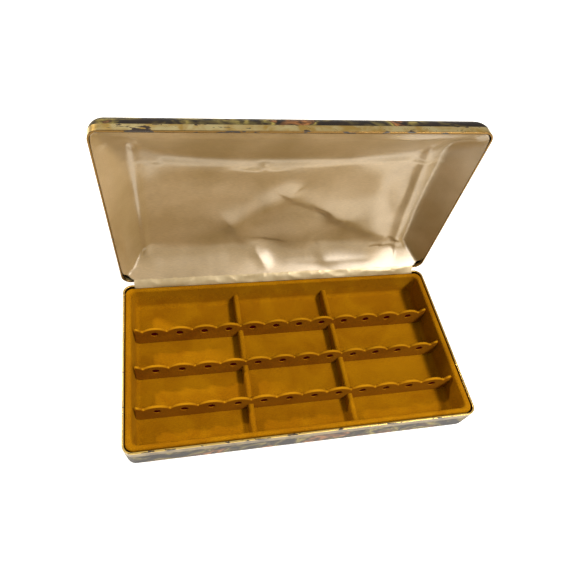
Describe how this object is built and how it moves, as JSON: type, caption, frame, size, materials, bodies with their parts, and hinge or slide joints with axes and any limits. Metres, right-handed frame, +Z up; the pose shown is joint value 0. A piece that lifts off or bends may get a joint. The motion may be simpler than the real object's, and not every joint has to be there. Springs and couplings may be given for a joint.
{
  "type": "hinged earring gift box",
  "caption": "Flat hinged jewelry gift box with a satin-lined lid and a flocked tray with scalloped, pierced earring strips.",
  "frame": {"origin": "centre of the base's underside, where the box rests on a table", "axes": "+X to the right along the hinge, +Y from the front towards the hinge, +Z up; the lid stands open at a right angle"},
  "size_m": [0.254, 0.1629, 0.165],
  "materials": {
    "lacquered_steel": "thin black lacquer on drawn sheet",
    "marbled_leatherette": "marbled black, olive and rust leatherette with a low gloss",
    "brass_lip": "polished brass wash, worn through along the lip",
    "hinge_metal": "tarnished brass plate",
    "mustard_flock": "short dense mustard flock",
    "greyboard": "plain greyboard",
    "wadding": "loose white wadding",
    "satin": "champagne satin with a soft lustre"
  },
  "bodies": {
    "base": {"base_shell": "lacquered_steel", "base_cover": "marbled_leatherette", "base_rim": "brass_lip", "hinge_base_leaf_left": "hinge_metal", "hinge_base_leaf_right": "hinge_metal", "hinge_pin_left": "hinge_metal", "hinge_pin_right": "hinge_metal", "base_rivets": "hinge_metal", "tray": "mustard_flock", "divider_left": "mustard_flock", "divider_right": "mustard_flock", "earring_strip_back": "mustard_flock", "earring_strip_middle": "mustard_flock", "earring_strip_front": "mustard_flock", "tray_bed": "greyboard", "hinge_cover": "satin"},
    "lid": {"lid_shell": "lacquered_steel", "lid_cover": "marbled_leatherette", "lid_rim": "brass_lip", "hinge_lid_leaf_left": "hinge_metal", "hinge_lid_leaf_right": "hinge_metal", "lid_rivets": "hinge_metal", "lid_card": "greyboard", "lid_wadding": "wadding", "lining_panel": "satin", "lining_back": "satin", "lining_front": "satin", "lining_left": "satin", "lining_right": "satin"}
  },
  "joints": [
    {"name": "lid_hinge", "type": "hinge", "parent": "base", "child": "lid", "pos_m": [0, 0.0699, 0.02665], "axis": [1, 0, 0], "range_deg": [0, 90], "deforming": ["hinge_cover"]}
  ]
}
